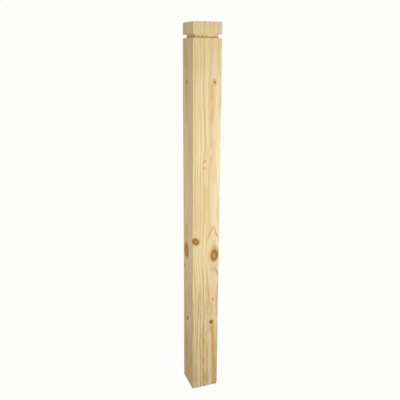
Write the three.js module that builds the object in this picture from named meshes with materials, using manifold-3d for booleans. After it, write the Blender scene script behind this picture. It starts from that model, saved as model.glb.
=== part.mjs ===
// Square newel post of planed pine, with a decorative groove cut round it just below its top.
// The whole post is one length of timber: a long plain shaft, the neck left by the groove, and
// the head above it. Units are millimetres, +Z is up, and the origin is the middle of the
// sawn underside.

import * as THREE from 'three';
import { mergeVertices } from 'three/addons/utils/BufferGeometryUtils.js';
import Module from 'manifold-3d';

// Driving dimensions

const POST_SIDE = 90;        // planed width of each of the four faces
const POST_HEIGHT = 1200;    // sawn underside to the top of the head
const HEAD_HEIGHT = 34;      // solid block above the groove
const GROOVE_HEIGHT = 10;    // opening of the groove, measured up the post
const GROOVE_DEPTH = 9;      // how far the groove is cut into each face
const ARRIS_RADIUS = 1.5;    // rounding of the four long edges
const TOP_RADIUS = 2;        // rounding of the four edges round the top
const LIP_CHAMFER = 0.5;     // the broken edge on each lip of the groove
const ARC_STEPS = 5;         // flats in each rounded quarter turn

const PINE = new THREE.MeshStandardMaterial({ color: 0xe3cb98, roughness: 0.62, metalness: 0 });

const { Manifold, Mesh } = await startSolids();

async function startSolids() {
  const wasm = await Module();
  wasm.setup();
  return wasm;
}

// Solids from closed geometries, and back again

function solidOf(geometry) {
  const bare = geometry.clone();
  bare.deleteAttribute('normal');
  bare.deleteAttribute('uv');
  const merged = mergeVertices(bare);
  return new Manifold(new Mesh({
    numProp: 3,
    vertProperties: new Float32Array(merged.attributes.position.array),
    triVerts: new Uint32Array(merged.index.array),
  }));
}

function geometryOf(solid) {
  const { vertProperties, triVerts } = solid.getMesh();
  const geometry = new THREE.BufferGeometry();
  geometry.setAttribute('position', new THREE.BufferAttribute(new Float32Array(vertProperties), 3));
  geometry.setIndex(new THREE.BufferAttribute(new Uint32Array(triVerts), 1));
  geometry.computeVertexNormals();
  return geometry;
}

function extrude(outline, depth) {
  return new THREE.ExtrudeGeometry(outline, { depth, curveSegments: ARC_STEPS, bevelEnabled: false });
}

// Plan: the cross-section of the planed timber, a square with rounded corners

function planOutline() {
  const half = POST_SIDE / 2;
  const middle = half - ARRIS_RADIUS;
  const quarter = Math.PI / 2;
  const outline = new THREE.Shape();
  [[1, 1], [-1, 1], [-1, -1], [1, -1]].forEach(([x, y], corner) => {
    outline.absarc(x * middle, y * middle, ARRIS_RADIUS, corner * quarter, (corner + 1) * quarter);
  });
  outline.closePath();
  return outline;
}

function planSolid() {
  return solidOf(extrude(planOutline(), POST_HEIGHT));
}

// Elevation: one side view of the post, with the groove in both of its edges and the top rounded

function elevationOutline() {
  const half = POST_SIDE / 2;
  const grooveTop = POST_HEIGHT - HEAD_HEIGHT;
  const grooveFoot = grooveTop - GROOVE_HEIGHT;
  const edge = [
    [half, 0],
    [half, grooveFoot - LIP_CHAMFER],
    [half - LIP_CHAMFER, grooveFoot],
    [half - GROOVE_DEPTH, grooveFoot],
    [half - GROOVE_DEPTH, grooveTop],
    [half - LIP_CHAMFER, grooveTop],
    [half, grooveTop + LIP_CHAMFER],
  ];
  const outline = new THREE.Shape(edge.map(([x, z]) => new THREE.Vector2(x, z)));
  const [arcX, arcZ] = [half - TOP_RADIUS, POST_HEIGHT - TOP_RADIUS];
  outline.absarc(arcX, arcZ, TOP_RADIUS, 0, Math.PI / 2);
  outline.absarc(-arcX, arcZ, TOP_RADIUS, Math.PI / 2, Math.PI);
  edge.toReversed().forEach(([x, z]) => outline.lineTo(-x, z));
  outline.closePath();
  return outline;
}

// The side view carried through the thickness of the post, seen along Y, or along X when turned

function elevationSolid(turned) {
  const geometry = extrude(elevationOutline(), POST_SIDE);
  geometry.translate(0, 0, -POST_SIDE / 2);
  geometry.rotateX(Math.PI / 2);
  if (turned) geometry.rotateZ(Math.PI / 2);
  return solidOf(geometry);
}

// The post is what both side views and the plan have in common

function newelPost() {
  const solid = planSolid().intersect(elevationSolid(false)).intersect(elevationSolid(true));
  const post = new THREE.Mesh(geometryOf(solid), PINE);
  post.name = 'newel_post';
  return post;
}

const object = new THREE.Group();
object.add(newelPost());

export default object;
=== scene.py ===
# A square newel post of planed pine, with a groove cut round it just below its flat top.
# Places and sizes are in metres, except where a heading or a comment says millimetres.

import math
from collections import namedtuple
from functools import reduce

import bpy
from mathutils import Euler, Matrix, Vector


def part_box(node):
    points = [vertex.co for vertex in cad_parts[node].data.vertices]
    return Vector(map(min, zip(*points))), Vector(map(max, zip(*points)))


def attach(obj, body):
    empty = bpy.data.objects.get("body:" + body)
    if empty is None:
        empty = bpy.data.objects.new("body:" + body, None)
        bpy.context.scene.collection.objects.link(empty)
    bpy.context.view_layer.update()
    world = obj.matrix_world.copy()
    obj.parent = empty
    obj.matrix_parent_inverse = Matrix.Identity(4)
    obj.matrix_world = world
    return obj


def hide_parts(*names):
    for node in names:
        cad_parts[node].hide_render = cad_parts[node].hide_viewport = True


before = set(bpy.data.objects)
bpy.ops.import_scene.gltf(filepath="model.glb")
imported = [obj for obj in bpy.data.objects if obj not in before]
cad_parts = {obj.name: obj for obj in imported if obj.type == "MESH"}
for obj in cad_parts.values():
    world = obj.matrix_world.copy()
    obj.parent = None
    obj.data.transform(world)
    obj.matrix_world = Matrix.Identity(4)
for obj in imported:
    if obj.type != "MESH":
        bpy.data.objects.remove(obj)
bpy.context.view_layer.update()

LOW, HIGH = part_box("newel_post")
WIDTH = HIGH[0] - LOW[0]
HEIGHT = HIGH[2] - LOW[2]
MM = 0.001
RIGHT_ANGLE = math.pi / 2


# Node trees as Python expressions

class Field:
    """A socket of a node tree. Arithmetic on it adds Math nodes."""

    def __init__(self, graph, socket):
        self.graph = graph
        self.socket = socket

    def __add__(self, other):
        return self.graph.math("ADD", self, other)

    def __sub__(self, other):
        return self.graph.math("SUBTRACT", self, other)

    def __rsub__(self, other):
        return self.graph.math("SUBTRACT", other, self)

    def __mul__(self, other):
        return self.graph.math("MULTIPLY", self, other)

    def __truediv__(self, other):
        return self.graph.math("DIVIDE", self, other)

    def __rtruediv__(self, other):
        return self.graph.math("DIVIDE", other, self)

    __radd__ = __add__
    __rmul__ = __mul__

    def absolute(self):
        return self.graph.math("ABSOLUTE", self)

    def floor(self):
        return self.graph.math("FLOOR", self)

    def sin(self):
        return self.graph.math("SINE", self)

    def cos(self):
        return self.graph.math("COSINE", self)

    def bell(self):
        """A smooth hump: 1 where this is 0, falling away on both sides."""
        return self.graph.math("EXPONENT", self * self * -1)

    def least(self, other):
        return self.graph.math("MINIMUM", self, other)

    def most(self, other):
        return self.graph.math("MAXIMUM", self, other)

    def rise(self, start, end, smooth=True):
        """0 up to start, 1 from end on; start may be above end for a fall."""
        shape = "SMOOTHSTEP" if smooth else "LINEAR"
        values = {"Value": self, "From Min": start, "From Max": end}
        return self.graph.add("ShaderNodeMapRange", {"interpolation_type": shape}, values)

    def swing(self, width):
        """Noise from 0 to 1 made to swing round 0, by so much from its lowest to its highest."""
        return (self - 0.5) * width


class Graph:
    """A node tree that nodes are added to."""

    def __init__(self, tree):
        self.tree = tree

    def add(self, kind, settings=None, values=None, output=0):
        """One node: its settings first, then its sockets, by identifier. Returns one of its outputs."""
        node = self.tree.nodes.new(kind)
        for name, value in (settings or {}).items():
            setattr(node, name, value)
        sockets = {socket.identifier: socket for socket in node.inputs}
        for name, value in (values or {}).items():
            if isinstance(value, Field):
                self.tree.links.new(value.socket, sockets[name])
            else:
                sockets[name].default_value = value
        if isinstance(output, str):
            output = [socket.identifier for socket in node.outputs].index(output)
        return Field(self, node.outputs[output]) if node.outputs else node

    def math(self, operation, *terms):
        sockets = dict(zip(("Value", "Value_001"), terms))
        return self.add("ShaderNodeMath", {"operation": operation}, sockets)

    def vector(self, operation, *terms, output="Vector", **values):
        sockets = {**dict(zip(("Vector", "Vector_001"), terms)), **values}
        return self.add("ShaderNodeVectorMath", {"operation": operation}, sockets, output)

    def dot(self, first, second):
        return self.vector("DOT_PRODUCT", first, second, output="Value")

    def parts(self, vector):
        node = self.add("ShaderNodeSeparateXYZ", values={"Vector": vector}).socket.node
        return [Field(self, socket) for socket in node.outputs]

    def joined(self, x, y, z):
        return self.add("ShaderNodeCombineXYZ", values={"X": x, "Y": y, "Z": z})

    def noise(self, place, across, along, detail=2.0, offset=(0.0, 0.0, 0.0)):
        """Noise from 0 to 1 whose lumps measure across by across by along, in millimetres."""
        scale = (1 / (across * MM), 1 / (across * MM), 1 / (along * MM))
        moved = self.add("ShaderNodeMapping", values={"Vector": place, "Location": offset, "Scale": scale})
        return self.add("ShaderNodeTexNoise", values={"Vector": moved, "Scale": 1.0, "Detail": detail})

    def wave(self, value, length, start=0.0):
        """Noise from 0 to 1 along one number, whose waves are so long."""
        values = {"W": value / length + start, "Scale": 1.0, "Detail": 1.0}
        return self.add("ShaderNodeTexNoise", {"noise_dimensions": "1D"}, values)

    def blend(self, share, first, second):
        """The first colour where the share is 0, and the second where it is 1."""
        values = {"Factor_Float": share, "A_Color": first, "B_Color": second}
        return self.add("ShaderNodeMix", {"data_type": "RGBA"}, values, "Result_Color")


def linear(red, green, blue):
    """A colour given as it looks on a screen, from 0 to 255, as a shader takes it."""
    def one(value):
        value = value / 255
        return value / 12.92 if value <= 0.04045 else ((value + 0.055) / 1.055) ** 2.4
    return (one(red), one(green), one(blue), 1.0)


# Camera, at the photograph's viewing angle

EYE = Vector((-0.549, -1.4381, 1.1084))
EYE_YAW = -0.3621
EYE_PITCH = -0.2818
EYE_ROLL = 0.005
LENS_MM = 45.06
SENSOR_MM = 36.0
FARTHEST_SEEN = 200.0


def place_camera():
    camera = bpy.data.objects.new("camera", bpy.data.cameras.new("camera"))
    camera.data.lens = LENS_MM
    camera.data.sensor_width = SENSOR_MM
    camera.data.clip_end = FARTHEST_SEEN
    turn = Euler((RIGHT_ANGLE + EYE_PITCH, 0.0, EYE_YAW)).to_matrix().to_4x4()
    camera.matrix_world = Matrix.Translation(EYE) @ turn @ Matrix.Rotation(EYE_ROLL, 4, "Z")
    bpy.context.scene.collection.objects.link(camera)
    bpy.context.scene.camera = camera


# Light, floor and backdrop. A light has its place, the point that it is aimed at, its width, its
# power in watts and its colour.

DAYLIGHT = (1.0, 0.99, 0.97)
WARM_LIGHT = (1.0, 0.98, 0.95)
SoftLight = namedtuple("SoftLight", "name place aim width power colour")
LIGHTS = (
    SoftLight("key", (0.42, -0.98, 0.74), (0, 0, 0.7), 0.8, 8.5, DAYLIGHT),
    SoftLight("left fill", (-1.0, -0.1, 0.65), (0, 0, 0.64), 0.5, 3.05, DAYLIGHT),
    SoftLight("back fill", (0.6, 1.0, 0.9), (0, 0, 0.65), 0.8, 8.5, WARM_LIGHT),
    SoftLight("top fill", (0, 0, 2.0), (0, 0, 1.2), 0.5, 2.2, DAYLIGHT),
)
AMBIENT = (0.36, 0.345, 0.32, 1.0)
BACKDROP = (0.975, 0.975, 0.96, 1.0)
FLOOR_COLOUR = (0.02, 0.02, 0.02, 1.0)
FLOOR_GLOW_COLOUR = (1.0, 1.0, 0.99, 1.0)
FLOOR_GLOW = 0.965
FLOOR_SIZE = 80.0


def add_light(settings):
    lamp = bpy.data.lights.new(settings.name, "AREA")
    lamp.shape = "DISK"
    lamp.size = settings.width
    lamp.energy = settings.power
    lamp.color = settings.colour
    light = bpy.data.objects.new(settings.name, lamp)
    towards = Vector(settings.aim) - Vector(settings.place)
    turn = towards.to_track_quat("-Z", "Y").to_matrix().to_4x4()
    light.matrix_world = Matrix.Translation(settings.place) @ turn
    light.visible_camera = False
    bpy.context.scene.collection.objects.link(light)


def light_scene():
    """The lights, and a world that shows a pale backdrop and lights the post more dimly."""
    for settings in LIGHTS:
        add_light(settings)
    world = bpy.data.worlds.new("studio")
    world.use_nodes = True
    world.node_tree.nodes.clear()
    graph = Graph(world.node_tree)
    seen = graph.add("ShaderNodeLightPath", output="Is Camera Ray")
    dim = graph.add("ShaderNodeBackground", values={"Color": AMBIENT})
    bright = graph.add("ShaderNodeBackground", values={"Color": BACKDROP})
    mixed = graph.add("ShaderNodeMixShader", values={"Fac": seen, "Shader": dim, "Shader_001": bright})
    graph.add("ShaderNodeOutputWorld", values={"Surface": mixed})
    bpy.context.scene.world = world
    bpy.context.scene.view_settings.view_transform = "Standard"


def lay_floor():
    """A floor that glows as bright as the backdrop, and doesn't light the post."""
    half = FLOOR_SIZE / 2
    corners = [(-half, -half, 0), (half, -half, 0), (half, half, 0), (-half, half, 0)]
    mesh = bpy.data.meshes.new("floor")
    mesh.from_pydata(corners, [], [(0, 1, 2, 3)])
    floor = bpy.data.objects.new("floor", mesh)
    material = bpy.data.materials.new("pale floor")
    material.use_nodes = True
    shader = material.node_tree.nodes["Principled BSDF"]
    shader.inputs["Base Color"].default_value = FLOOR_COLOUR
    shader.inputs["Roughness"].default_value = 0.9
    shader.inputs["Specular IOR Level"].default_value = 0.0
    shader.inputs["Emission Color"].default_value = FLOOR_GLOW_COLOUR
    shader.inputs["Emission Strength"].default_value = FLOOR_GLOW
    mesh.materials.append(material)
    floor.visible_diffuse = False
    floor.visible_glossy = False
    bpy.context.scene.collection.objects.link(floor)


# The log that the post was sawn from, in millimetres. The heart runs up inside the post, the
# growth rings lie round it, and each knot is a branch that grew outwards from it.

HEART_X_FOOT = 27.0
HEART_X_TOP = 21.0
HEART_Y = 13.0
RING_WIDTH = 6.0
FIRST_RING = 0.6
FACE = WIDTH / MM / 2
POST_TOP = HEIGHT / MM
SIDES = {"front": (0, -1), "left": (-1, 0), "right": (1, 0), "back": (0, 1)}

# A knot: the face that it shows on, how far it is along X or Y there, its height, its width, how
# much taller than wide it is, how dark it is, and how far it pushes the rings outwards
Knot = namedtuple("Knot", "face along height width tall dark swell")
KNOTS = (
    Knot("front", 24.5, 1031, 5.5, 1.1, 0.58, 2.5),
    Knot("front", 20.5, 1036, 8.0, 1.2, 0.2, 1.0),
    Knot("front", -6.0, 797, 8.5, 1.1, 0.1, 2.2),
    Knot("front", -6.5, 777, 8.5, 1.1, 0.1, 2.2),
    Knot("front", -34.5, 540, 15.0, 1.2, 0.74, 7.0),
    Knot("front", 28.5, 484, 23.5, 1.45, 0.62, 11.0),
    Knot("front", 27.0, 330, 7.0, 1.4, 0.12, 1.5),
    Knot("front", 21.0, 246, 10.5, 1.0, 0.86, 5.0),
    Knot("left", 9.0, 1030, 13.0, 0.8, 0.4, 4.0),
    Knot("left", 15.0, 488, 32.0, 1.3, 0.52, 12.0),
    Knot("left", 31.0, 432, 12.0, 0.7, 0.4, 2.0),
    Knot("left", 8.0, 246, 12.0, 0.9, 0.8, 5.0),
    Knot("right", -14.0, 1031, 12.0, 1.1, 0.6, 5.0),
    Knot("right", 9.0, 506, 20.0, 1.4, 0.75, 10.0),
    Knot("right", -6.0, 219, 9.0, 1.0, 0.85, 4.0),
    Knot("back", -12.0, 1012, 7.0, 1.0, 0.6, 3.5),
    Knot("back", 8.0, 455, 24.0, 1.4, 0.75, 11.0),
    Knot("back", -20.0, 772, 9.0, 0.9, 0.4, 3.5),
    Knot("back", 24.0, 231, 13.0, 1.0, 0.85, 5.0),
)

# How far a branch climbs for each step outwards, and how thin it is at the heart
BRANCH_CLIMB = 0.4
BRANCH_ROOT = 0.02

# How far the swelling of the rings reaches across and along the grain, as a length and as so many
# widths of the knot, and how many times as far it reaches below a knot as above it
SWELL_ACROSS = 6.0
SWELL_ACROSS_WIDTHS = 1.5
SWELL_ALONG = 13.0
SWELL_ALONG_WIDTHS = 0.9
SWELL_BELOW = 3.0

# How far out from a knot its darkness is lost, and where it is full, in knot radii
DARK_REACH = (2.2, 1.0)

# A streak of coloured wood: its face, where its upper end is along the face, how far it has moved
# at its lower end, its half width, its lowest and highest point, and its strength
Streak = namedtuple("Streak", "face along drift half low high strength")

# Streaks that are darker than the wood or soaked with resin
STREAKS = (
    Streak("front", 14.5, 0.5, 6.0, 908, 1040, 0.75),
    Streak("front", 12.0, 0.0, 4.0, 1030, 1066, 0.4),
    Streak("front", -10.0, 0.0, 40.0, 1080, 1290, 0.12),
    Streak("front", -22.0, 0.0, 26.0, 570, 800, 0.16),
    Streak("front", -3.0, 2.0, 11.0, 600, 735, 0.22),
    Streak("front", 32.0, 12.0, 3.2, 416, 442, 1.5),
    Streak("front", 5.0, 10.0, 1.4, 300, 432, 0.7),
    Streak("front", 17.0, 4.0, 3.0, 262, 330, 0.6),
    Streak("front", 22.0, 6.0, 5.5, 190, 242, 0.85),
    Streak("front", 28.0, 10.0, 8.5, -60, 205, 0.9),
    Streak("front", -13.0, 1.0, 6.0, 100, 245, 0.4),
    Streak("front", 8.0, -3.0, 2.6, -60, 180, 0.7),
    Streak("left", 6.0, 1.0, 6.0, 910, 1025, 0.6),
    Streak("left", 16.0, 1.0, 5.0, -60, 225, 0.35),
    Streak("left", 37.0, 0.5, 8.0, -60, 150, 0.7),
    Streak("left", 0.0, 0.0, 42.0, -90, 200, 0.32),
    Streak("right", 6.0, -3.0, 6.0, 330, 480, 0.4),
    Streak("back", 20.0, -4.0, 6.0, -60, 220, 0.5),
)

# Streaks that are paler than the wood
PALE_STREAKS = (
    Streak("front", 16.0, 3.0, 5.0, -60, 215, 1.3),
    Streak("front", 34.0, 0.0, 14.0, 640, 960, 0.6),
    Streak("left", -12.0, 1.0, 5.0, -60, 160, 0.4),
    Streak("back", -6.0, 2.0, 7.0, -60, 300, 0.6),
    Streak("right", 20.0, -2.0, 6.0, 80, 330, 0.6),
)

# The ends of a streak fade in steps of STREAK_SOFTNESS plus its half width. The lower end takes so
# many steps both ways, and the upper end so many above its highest point and below it.
STREAK_SOFTNESS = 10.0
STREAK_FOOT_FADE = 1.5
STREAK_TOP_ABOVE = 0.5
STREAK_TOP_BELOW = 1.2

# How deep under the face a streak starts to show, and where it is at full strength
STREAK_STARTS_UNDER = 14.0
STREAK_FULL_UNDER = 4.0

# A peak of late wood above a knot, where a ring just breaks through the face: its face, where its
# point is along the face, the height of the point, how fast its two legs spread, how thick they
# are, how far down they reach, and its strength
Peak = namedtuple("Peak", "face along height spread half reach strength")
PEAKS = (
    Peak("front", 23.5, 587, 0.42, 2.0, 52, 1.0),
    Peak("front", 27.0, 524, 0.55, 1.8, 22, 0.7),
    Peak("left", 13.0, 586, 0.28, 4.0, 60, 1.0),
    Peak("right", 8.0, 590, 0.4, 1.7, 60, 0.8),
    Peak("back", 7.0, 560, 0.35, 1.8, 70, 0.8),
)

# How far down from its point a peak starts and is at full strength, and the same under the face
PEAK_TIP = (-3.0, 2.0)
PEAK_STARTS_UNDER = 9.0
PEAK_FULL_UNDER = 2.0


def knot_axes(knot):
    """Where a branch comes out of the post; its way out, across and up; its length from the heart."""
    out_x, out_y = SIDES[knot.face]
    surface = Vector((out_x * FACE, out_y * FACE, knot.height))
    surface += Vector((abs(out_y), abs(out_x), 0.0)) * knot.along
    heart_x = HEART_X_FOOT + (HEART_X_TOP - HEART_X_FOOT) * knot.height / POST_TOP
    level = Vector((surface.x - heart_x, surface.y - HEART_Y, 0.0))
    branch = level + Vector((0.0, 0.0, BRANCH_CLIMB * level.length))
    outwards = branch.normalized()
    across = Vector((-level.y, level.x, 0.0)).normalized()
    return surface, (outwards, across, outwards.cross(across)), branch.length


def knot_fields(graph, place, wobble):
    """Over all knots: the distance to the nearest, 1 at its rim; how dark it is; the rings' swell."""
    near = dark = swell = None
    for knot in KNOTS:
        surface, axes, length = knot_axes(knot)
        offset = graph.vector("SUBTRACT", place, tuple(surface))
        forward, across, upwards = (graph.dot(offset, tuple(axis)) for axis in axes)
        thickness = (forward / length + 1).most(BRANCH_ROOT)
        squat = upwards / knot.tall
        reach = graph.math("SQRT", across * across + squat * squat)
        rim = reach / (thickness * (knot.width / 2)) + wobble
        above = SWELL_ALONG + SWELL_ALONG_WIDTHS * knot.width
        lengthways = (upwards / above).most(upwards / (-SWELL_BELOW * above))
        sideways = across.absolute() / (SWELL_ACROSS + SWELL_ACROSS_WIDTHS * knot.width)
        hump = graph.math("EXPONENT", (sideways + lengthways) * -1)
        hump = hump * thickness.least(1.0) * knot.swell
        weight = rim.rise(*DARK_REACH) * knot.dark
        near = rim if near is None else near.least(rim)
        dark = weight if dark is None else dark.most(weight)
        swell = hump if swell is None else swell + hump
    return near, dark, swell


def face_axes(face, x, y):
    """How far along a face a point is, and how far out towards that face."""
    out_x, out_y = SIDES[face]
    along = x if out_y else y
    depth = x * out_x if out_x else y * out_y
    return along, depth


def streak_mark(streak, x, y, z, wander):
    """How strongly one streak colours the wood. Its ends are softer the wider it is."""
    along, depth = face_axes(streak.face, x, y)
    down = z.rise(streak.high, streak.low, smooth=False)
    centre = down * streak.drift + (streak.along + wander)
    line = ((along - centre) / streak.half).bell()
    soft = STREAK_SOFTNESS + streak.half
    foot_fade = STREAK_FOOT_FADE * soft
    ends = z.rise(streak.low - foot_fade, streak.low + foot_fade)
    top_start = streak.high + STREAK_TOP_ABOVE * soft
    ends = ends * z.rise(top_start, streak.high - STREAK_TOP_BELOW * soft)
    shallow = depth.rise(FACE - STREAK_STARTS_UNDER, FACE - STREAK_FULL_UNDER)
    return line * ends * shallow * streak.strength


def peak_mark(peak, x, y, z, wander):
    """How strongly one peak colours the wood."""
    along, depth = face_axes(peak.face, x, y)
    down = peak.height - z
    aside = (along - peak.along + wander).absolute()
    line = ((aside - down * peak.spread) / peak.half).bell()
    ends = down.rise(peak.reach, peak.reach / 2) * down.rise(*PEAK_TIP)
    shallow = depth.rise(FACE - PEAK_STARTS_UNDER, FACE - PEAK_FULL_UNDER)
    return line * ends * shallow * peak.strength


def strongest(mark, shapes, *fields):
    """The strongest at each point of the marks that these shapes make."""
    return reduce(Field.most, (mark(shape, *fields) for shape in shapes))


# The shape of the post. A grid is wrapped round the post: its columns go round the section and
# its rows go from the middle of the underside, up the faces, to the middle of the top.

GROOVE = {"Head height": 34 * MM, "Groove height": 10 * MM, "Groove depth": 9 * MM}
EDGES = {
    "Arris radius": 1.5 * MM, "Top radius": 2.0 * MM,
    "Lip radius": 0.5 * MM, "Foot radius": 0.3 * MM,
}
SIZES = {
    "Width": WIDTH, "Height": HEIGHT, **GROOVE, **EDGES,
    "Edge wear": 0.5, "Knot sink": 0.2 * MM,
}
SEED = 7
WEAR_LENGTH = 60 * MM
WELD = 0.002 * MM
SHARP = math.radians(35)

# Where a sunk knot starts and is deepest, in its radii. Then the upward part of a face's normal from
# which its knots don't sink, and the one below which they sink fully.
SUNK_EDGE = (1.15, 0.75)
STEEP = (0.5, 0.1)

# Beside each rounding a flat has one narrow column or row, so that its shading stays flat. Inside
# the groove there is none. A ledge and a lip come twice in the rows.
EDGE_STRIP = 0.8 * MM
FACE_COLUMNS = 30
ARRIS_COLUMNS = 5
COLUMN_COUNT = 4 * (FACE_COLUMNS + ARRIS_COLUMNS + 2)
FLAT_ROWS = {"underside": 10, "shaft": 240, "ledge": 3, "neck": 4, "head": 8, "top": 12}
TURN_ROWS = {"foot": 2, "lip": 3, "top": 5}
STRIP_ROWS = 6
TWICE_ROWS = FLAT_ROWS["ledge"] + TURN_ROWS["lip"]
ROW_COUNT = sum(FLAT_ROWS.values()) + sum(TURN_ROWS.values()) + TWICE_ROWS + STRIP_ROWS

# The least length that a stretch gets in the flattened picture of the surface
LEAST_STRIP = 3.0 * MM


class Path:
    """A walk along the post's outline in one elevation, in stretches of so many rows."""

    def __init__(self, graph, row):
        self.row = row
        self.rows = 0
        self.out = self.up = self.strip = self.strips = graph.math("ADD", 0.0, 0.0)

    def share(self, rows, length):
        """How much of the next stretch a row has done; the flattened picture gets its length too."""
        done = self.row.rise(self.rows, self.rows + rows, smooth=False)
        self.rows += rows
        kept = length.most(LEAST_STRIP) if isinstance(length, Field) else max(length, LEAST_STRIP)
        self.strip = self.strip + done * kept
        self.strips = self.strips + kept
        return done

    def outwards(self, rows, length):
        done = self.share(rows, length)
        self.out = self.out + done * length
        return done

    def inwards(self, rows, length):
        done = self.share(rows, length)
        self.out = self.out - done * length
        return done

    def upwards(self, rows, length):
        self.up = self.up + self.share(rows, length) * length

    def turn_up(self, rows, radius):
        angle = self.share(rows, radius * RIGHT_ANGLE) * RIGHT_ANGLE
        self.out = self.out + angle.sin() * radius
        self.up = self.up + (1 - angle.cos()) * radius

    def turn_in(self, rows, radius):
        angle = self.share(rows, radius * RIGHT_ANGLE) * RIGHT_ANGLE
        self.up = self.up + angle.sin() * radius
        self.out = self.out - (1 - angle.cos()) * radius


def walk_outline(graph, given, row):
    """The whole walk, and a share that is 1 on the post's faces and falls to 0 inside the groove."""
    half = given["Width"] / 2
    shaft_top = given["Height"] - given["Head height"] - given["Groove height"]
    ledge = given["Groove depth"] - given["Lip radius"]
    path = Path(graph, row)
    path.outwards(FLAT_ROWS["underside"], half - given["Foot radius"] - EDGE_STRIP)
    path.outwards(1, EDGE_STRIP)
    path.turn_up(TURN_ROWS["foot"], given["Foot radius"])
    path.upwards(1, EDGE_STRIP)
    shaft = shaft_top - given["Foot radius"] - given["Lip radius"] - 2 * EDGE_STRIP
    path.upwards(FLAT_ROWS["shaft"], shaft)
    path.upwards(1, EDGE_STRIP)
    path.turn_in(TURN_ROWS["lip"], given["Lip radius"])
    narrowed = path.inwards(FLAT_ROWS["ledge"], ledge)
    path.upwards(FLAT_ROWS["neck"], given["Groove height"])
    widened = path.outwards(FLAT_ROWS["ledge"], ledge)
    path.turn_up(TURN_ROWS["lip"], given["Lip radius"])
    path.upwards(1, EDGE_STRIP)
    head = given["Head height"] - given["Lip radius"] - given["Top radius"] - 2 * EDGE_STRIP
    path.upwards(FLAT_ROWS["head"], head)
    path.upwards(1, EDGE_STRIP)
    path.turn_in(TURN_ROWS["top"], given["Top radius"])
    path.inwards(1, EDGE_STRIP)
    path.inwards(FLAT_ROWS["top"], half - given["Top radius"] - EDGE_STRIP)
    return path, 1 - narrowed + widened


def wrap_section(graph, given, column, path, on_face):
    """Where a point of the grid goes, and how far round the post it is in the flattened picture."""
    # The corners of the section are worn a little more in some places than in others
    half = given["Width"] / 2
    way_round = column * (2 * math.pi / COLUMN_COUNT)
    spot = graph.joined(way_round.cos(), way_round.sin(), path.up / WEAR_LENGTH + given["Seed"])
    noise = graph.add("ShaderNodeTexNoise", values={"Vector": spot, "Scale": 1.0, "Detail": 3.0})
    wear = noise.swing(given["Edge wear"]) + 1
    corner = path.out / half * on_face * given["Arris radius"] * wear

    per_side = COLUMN_COUNT / 4
    quarter = (column / per_side).floor()
    step = column - quarter * per_side
    strip = EDGE_STRIP / WIDTH
    face_end = 1 + FACE_COLUMNS
    travelled = (
        step.rise(0, 1, smooth=False) * strip
        + step.rise(1, face_end, smooth=False) * (1 - 2 * strip)
        + step.rise(face_end, face_end + 1, smooth=False) * strip
    )
    rounded = step.rise(face_end + 1, per_side, smooth=False)
    angle = rounded * RIGHT_ANGLE
    flat = path.out - corner
    ahead = flat + angle.cos() * corner
    aside = flat * (travelled * 2 - 1) + angle.sin() * corner
    turn = quarter * RIGHT_ANGLE
    place = graph.joined(
        ahead * turn.cos() - aside * turn.sin(),
        ahead * turn.sin() + aside * turn.cos(),
        path.up,
    )
    arris_share = LEAST_STRIP / WIDTH
    round_share = (quarter + travelled * (1 - arris_share) + rounded * arris_share) / 4
    return place, round_share


def sink_knots(graph, given, geometry):
    """Knots dry a little below the planed faces, and not on the sawn ends."""
    here = graph.vector("SCALE", graph.add("GeometryNodeInputPosition"), Scale=1 / MM)
    near, dark, _ = knot_fields(graph, here, 0.0)
    upright = graph.parts(graph.add("GeometryNodeInputNormal"))[2]
    level = upright.absolute().rise(*STEEP)
    depth = near.rise(*SUNK_EDGE) * dark * level * given["Knot sink"]
    push = graph.vector("SCALE", graph.add("GeometryNodeInputNormal"), Scale=depth * -1)
    return graph.add("GeometryNodeSetPosition", values={"Geometry": geometry, "Offset": push})


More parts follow.
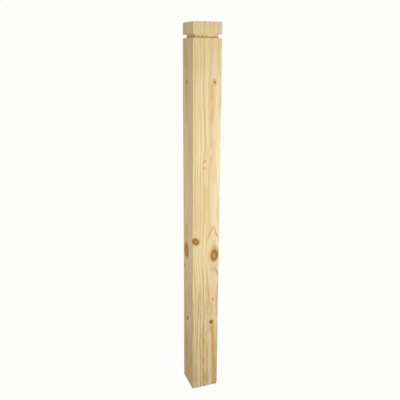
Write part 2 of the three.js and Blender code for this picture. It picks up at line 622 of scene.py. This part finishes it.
def post_tree():
    """The node tree that makes the post from its sizes."""
    tree = bpy.data.node_groups.new("newel post", "GeometryNodeTree")
    graph = Graph(tree)
    for name in (*SIZES, "Seed"):
        tree.interface.new_socket(name, in_out="INPUT", socket_type="NodeSocketFloat")
    tree.interface.new_socket("Material", in_out="INPUT", socket_type="NodeSocketMaterial")
    tree.interface.new_socket("Post", in_out="OUTPUT", socket_type="NodeSocketGeometry")
    entry = tree.nodes.new("NodeGroupInput")
    given = {socket.name: Field(graph, socket) for socket in entry.outputs}

    grid_sizes = {
        "Size X": COLUMN_COUNT, "Size Y": ROW_COUNT,
        "Vertices X": COLUMN_COUNT + 1, "Vertices Y": ROW_COUNT + 1,
    }
    grid = graph.add("GeometryNodeMeshGrid", values=grid_sizes)
    x, y, _ = graph.parts(graph.add("GeometryNodeInputPosition"))
    column = graph.math("ROUND", x + COLUMN_COUNT / 2)
    row = graph.math("ROUND", y + ROW_COUNT / 2)
    path, on_face = walk_outline(graph, given, row)
    place, round_share = wrap_section(graph, given, column, path, on_face)

    # The flattened picture of the surface, for baking: round the post across it, up the post up it
    flattened = graph.joined(round_share, path.strip / path.strips, 0.0)
    settings = {"data_type": "FLOAT2", "domain": "CORNER"}
    values = {"Geometry": grid, "Name": "OFBake", "Value": flattened}
    flattened_grid = graph.add("GeometryNodeStoreNamedAttribute", settings, values)
    values = {"Geometry": flattened_grid, "Position": place}
    wrapped = graph.add("GeometryNodeSetPosition", values=values)
    values = {"Geometry": wrapped, "Distance": WELD}
    welded = graph.add("GeometryNodeMergeByDistance", values=values)
    sunk = sink_knots(graph, given, welded)

    bend = graph.add("GeometryNodeInputMeshEdgeAngle")
    crease = graph.add("FunctionNodeCompare", {"operation": "GREATER_THAN"}, {"A": bend, "B": SHARP})
    smooth = graph.add("GeometryNodeSetShadeSmooth", values={"Geometry": sunk, "Shade Smooth": True})
    values = {"Geometry": smooth, "Selection": crease, "Shade Smooth": False}
    creased = graph.add("GeometryNodeSetShadeSmooth", {"domain": "EDGE"}, values)
    realized = graph.add("GeometryNodeRealizeInstances", values={"Geometry": creased})
    values = {"Geometry": realized, "Material": given["Material"]}
    finished = graph.add("GeometryNodeSetMaterial", values=values)
    leave = tree.nodes.new("NodeGroupOutput")
    tree.links.new(finished.socket, leave.inputs[0])
    return tree


def make_post(material):
    tree = post_tree()
    maker = bpy.data.objects.new("post maker", bpy.data.meshes.new("post maker"))
    bpy.context.scene.collection.objects.link(maker)
    modifier = maker.modifiers.new("post", "NODES")
    modifier.node_group = tree
    inputs = {**SIZES, "Seed": float(SEED), "Material": material}
    for item in tree.interface.items_tree:
        if item.in_out == "INPUT":
            modifier[item.identifier] = inputs[item.name]
    bpy.context.view_layer.update()
    evaluated = maker.evaluated_get(bpy.context.evaluated_depsgraph_get())
    mesh = bpy.data.meshes.new_from_object(evaluated)
    mesh.name = "planed_post"
    bpy.data.objects.remove(maker)
    post = bpy.data.objects.new("planed_post", mesh)
    bpy.context.scene.collection.objects.link(post)
    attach(post, "root")
    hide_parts("newel_post")


# Pine, as solid wood

EARLY_WOOD = linear(241, 222, 175)
LATE_WOOD = linear(187, 140, 75)
ROSY_WOOD = linear(236, 205, 156)
AMBER_WOOD = linear(215, 165, 86)
PALE_WOOD = linear(243, 232, 190)
KNOT_WOOD = linear(183, 121, 52)
KNOT_HEART = linear(208, 158, 106)
KNOT_RIM = linear(106, 72, 33)
END_WOOD = linear(194, 162, 112)

# How strongly each colour shows at the most
ROSY_STRENGTH = 0.45
LATE_STRENGTH = 0.85
FIBRE_STRENGTH = 0.38
HALO_STRENGTH = 1.35
HEART_STRENGTH = 0.5
KNOT_RING_STRENGTH = 0.4
DARK_KNOT_STRENGTH = 0.6
END_STRENGTH = 0.4

# Patterns in the wood: the size of their lumps across and along the grain in millimetres, how many
# finer layers they have, and an offset that sets each apart from the others
Pattern = namedtuple("Pattern", "across along detail offset", defaults=(2.0, (0.0, 0.0, 0.0)))
KNOT_WOBBLE = Pattern(7, 9)
LONG_RIPPLES = Pattern(24, 150)
SHORT_RIPPLES = Pattern(5, 60)
WAVES = Pattern(14, 40, offset=(2.0, 2.0, 2.0))
ROSY_ZONES = Pattern(26, 240, offset=(3.0, 1.0, 7.0))
FIBRES = Pattern(1.3, 130, detail=3.0)
STRANDS = Pattern(3.2, 130, offset=(0.0, 4.0, 2.0))
STREAK_DRIFT = Pattern(30, 110, offset=(0.0, 9.0, 0.0))
PATCHES = Pattern(10, 32, offset=(6.0, 2.0, 0.0))
CURLS = Pattern(12, 16, offset=(1.0, 5.0, 3.0))
PORES = Pattern(0.3, 12)

# How far the patterns move what they shape, in millimetres, or in radii for a knot's rim
LONG_RIPPLE = 5.0
SHORT_RIPPLE = 1.0
KNOT_UNEVEN = 0.5
STREAK_WANDER = 4.0
PEAK_CURL = 9.0

# Changes down the post: the height in millimetres where each starts and where it is complete, and
# the strength above and below it
Change = namedtuple("Change", "start end above below")
WAVY_GRAIN = Change(430, 130, 1.0, 6.5)
DARKER_RINGS = Change(760, 180, 0.7, 1.12)
DARKER_STRANDS = Change(700, 250, 0.3, 0.75)

# The plain head, and the calm grain between the large knots, in millimetres of height
HEAD_FADE = (1230, 1130)
HEAD_RINGS = 0.6
WHORL_HEIGHT = 495.0
WHORL_REACH = 70.0
WHORL_CALM = 0.6

# How far the heart strays sideways as it climbs, and over what length, in millimetres
HEART_SWAY_X = 9.0
HEART_SWAY_X_LENGTH = 340.0
HEART_SWAY_Y = 7.0
HEART_SWAY_Y_LENGTH = 300.0

# A ring from its inner to its outer side: where late wood starts, is darkest and fades. Then how
# uneven the rings' widths are, over so many rings, and how dark the palest ring is.
LATE_START = 0.5
LATE_FULL = 0.93
LATE_FADE = 0.96
UNEVEN_RINGS = 0.8
UNEVEN_LENGTH = 2.3
PALEST_RING = 0.4

# Where a face lies so nearly along the rings, the late wood shows so much less
FLAT_CUT = (0.86, 1.0)
FLAT_CUT_LOSS = 0.4

# A knot from its middle to its rim, in radii: its heart, the edge of its wood, the middle and the
# width of its rim, the reach of the amber halo, and the phase of its own rings
HEART_EDGE = (0.6, 0.2)
KNOT_EDGE = (1.12, 0.88)
RIM_MIDDLE = 0.86
RIM_WIDTH = 0.26
HALO_REACH = (2.1, 0.95)
KNOT_RING_RATE = 12.6
KNOT_RING_PHASE = 5.7

# The finish: roughness, what is added to it on sawn ends and between fibres and taken off it on
# late wood and knots, shine, and the relief of the grain with each part's share in it
ROUGHNESS = 0.62
SAWN_ROUGHER = 0.2
FIBRE_ROUGHER = 0.1
LATE_SMOOTHER = 0.08
KNOT_SMOOTHER = 0.1
SHINE = 0.3
GRAIN_RELIEF = 0.15 * MM
RELIEF_STRENGTH = 0.5
LATE_RELIEF = 0.35
FIBRE_RELIEF = 0.5
PORE_RELIEF = 0.3
RIM_RELIEF = 0.6


def changing(z, change):
    """A strength that changes with height."""
    return z.rise(change.start, change.end) * (change.below - change.above) + change.above


def ring_fields(graph, place, x, y, z, swell):
    """The way from the heart, and how dark the late wood is. The rings are pushed out by the swell."""
    sway_x = graph.wave(z, HEART_SWAY_X_LENGTH).swing(HEART_SWAY_X)
    sway_y = graph.wave(z, HEART_SWAY_Y_LENGTH, start=5.0).swing(HEART_SWAY_Y)
    heart_x = z * ((HEART_X_TOP - HEART_X_FOOT) / POST_TOP) + HEART_X_FOOT + sway_x
    from_heart = graph.joined(x - heart_x, y - HEART_Y - sway_y, 0.0)
    radius = graph.vector("LENGTH", from_heart, output="Value")
    ripple = graph.noise(place, *LONG_RIPPLES).swing(LONG_RIPPLE)
    ripple = ripple + graph.noise(place, *SHORT_RIPPLES).swing(SHORT_RIPPLE)
    waves = graph.noise(place, *WAVES).swing(changing(z, WAVY_GRAIN))
    age = (radius - swell + ripple + waves - FIRST_RING) / RING_WIDTH
    age = age + graph.wave(age, UNEVEN_LENGTH).swing(UNEVEN_RINGS)
    ring = age.floor()
    grown = age - ring
    chance = graph.add("ShaderNodeTexWhiteNoise", {"noise_dimensions": "1D"}, {"W": ring}, "Value")
    late = grown.rise(LATE_START, LATE_FULL) * grown.rise(1.0, LATE_FADE)
    return from_heart, late * (chance * (1 - PALEST_RING) + PALEST_RING)


def grain_colour(graph, z, place, fibre, late, calm):
    """Early and late wood, slow changes of tone along the grain, fibres and strands."""
    rosy = graph.noise(place, *ROSY_ZONES).rise(0.42, 0.68) * ROSY_STRENGTH
    colour = graph.blend(rosy, EARLY_WOOD, ROSY_WOOD)
    colour = graph.blend(late * LATE_STRENGTH, colour, LATE_WOOD)
    colour = graph.blend(fibre.rise(0.52, 0.74) * FIBRE_STRENGTH, colour, LATE_WOOD)
    strand = graph.noise(place, *STRANDS).rise(0.48, 0.75)
    return graph.blend(strand * changing(z, DARKER_STRANDS) * calm, colour, LATE_WOOD)


def knot_colour(graph, near, dark, wobble):
    """A knot's own wood: a rosy heart and rings of its own."""
    rings = ((near + wobble * 0.4) * KNOT_RING_RATE - KNOT_RING_PHASE).cos() * 0.5 + 0.5
    colour = graph.blend(near.rise(*HEART_EDGE) * HEART_STRENGTH, KNOT_WOOD, KNOT_HEART)
    colour = graph.blend(rings * dark * KNOT_RING_STRENGTH, colour, KNOT_RIM)
    return graph.blend(dark.rise(0.8, 1.0) * DARK_KNOT_STRENGTH, colour, KNOT_RIM)


def pine_material():
    material = bpy.data.materials.new("planed pine")
    material.use_nodes = True
    material.node_tree.nodes.clear()
    graph = Graph(material.node_tree)
    place = graph.add("ShaderNodeTexCoord", output="Object")
    point = graph.vector("SCALE", place, Scale=1 / MM)
    x, y, z = graph.parts(point)

    wobble = graph.noise(place, *KNOT_WOBBLE).swing(KNOT_UNEVEN)
    near, dark, swell = knot_fields(graph, point, wobble)
    from_heart, late = ring_fields(graph, place, x, y, z, swell)

    # Where a face lies along the rings, the late wood is planed thin and shows less
    normal = graph.add("ShaderNodeNewGeometry", output="True Normal")
    outwards = graph.vector("NORMALIZE", from_heart)
    along_rings = graph.dot(outwards, normal).absolute()
    late = late * (1 - along_rings.rise(*FLAT_CUT) * FLAT_CUT_LOSS) * changing(z, DARKER_RINGS)
    calm = 1 - ((z - WHORL_HEIGHT) / WHORL_REACH).bell() * WHORL_CALM
    late = late * calm * z.rise(*HEAD_FADE).most(HEAD_RINGS)
    fibre = graph.noise(place, *FIBRES)
    colour = grain_colour(graph, z, place, fibre, late, calm)

    # Streaks are patchy along the grain, and amber wood also shows as a halo round each knot
    wander = graph.noise(place, *STREAK_DRIFT).swing(STREAK_WANDER)
    patch = graph.noise(place, *PATCHES)
    pale = strongest(streak_mark, PALE_STREAKS, x, y, z, wander)
    colour = graph.blend(pale * (patch + 0.1), colour, PALE_WOOD)
    streak = strongest(streak_mark, STREAKS, x, y, z, wander) * (fibre * 0.6 + patch + 0.15)
    halo = near.rise(*HALO_REACH) * dark * HALO_STRENGTH
    colour = graph.blend(streak.most(halo), colour, AMBER_WOOD)
    curl = graph.noise(place, *CURLS).swing(PEAK_CURL)
    peak = strongest(peak_mark, PEAKS, x, y, z, curl) * (patch * 1.4 + 0.1)
    colour = graph.blend(peak, colour, LATE_WOOD)

    # Knots, with a darker rim that is stronger in some places than in others
    inside = near.rise(*KNOT_EDGE)
    knot = knot_colour(graph, near, dark, wobble)
    colour = graph.blend(inside * (dark * 0.7 + 0.3), colour, knot)
    rim = ((near - RIM_MIDDLE) / RIM_WIDTH).bell() * dark.rise(0.3, 0.95, smooth=False)
    rim = rim * (patch * 1.5 + 0.2)
    colour = graph.blend(rim, colour, KNOT_RIM)

    # End grain, where the wood is cut across
    end = graph.parts(normal)[2].absolute().rise(0.55, 0.9)
    colour = graph.blend(end * END_STRENGTH, colour, END_WOOD)

    # Late wood and knots are planed smoother, and the sawn ends are rougher
    rough = ROUGHNESS - late * LATE_SMOOTHER - inside * KNOT_SMOOTHER + end * SAWN_ROUGHER
    rough = rough + fibre.swing(FIBRE_ROUGHER)
    height = late * LATE_RELIEF + fibre * FIBRE_RELIEF
    height = height + graph.noise(place, *PORES) * PORE_RELIEF - rim * RIM_RELIEF
    values = {"Strength": RELIEF_STRENGTH, "Distance": GRAIN_RELIEF, "Height": height}
    bump = graph.add("ShaderNodeBump", values=values)
    values = {
        "Base Color": colour, "Roughness": rough, "Normal": bump, "Specular IOR Level": SHINE,
    }
    shader = graph.add("ShaderNodeBsdfPrincipled", values=values)
    graph.add("ShaderNodeOutputMaterial", values={"Surface": shader})
    return material


place_camera()
light_scene()
lay_floor()
make_post(pine_material())
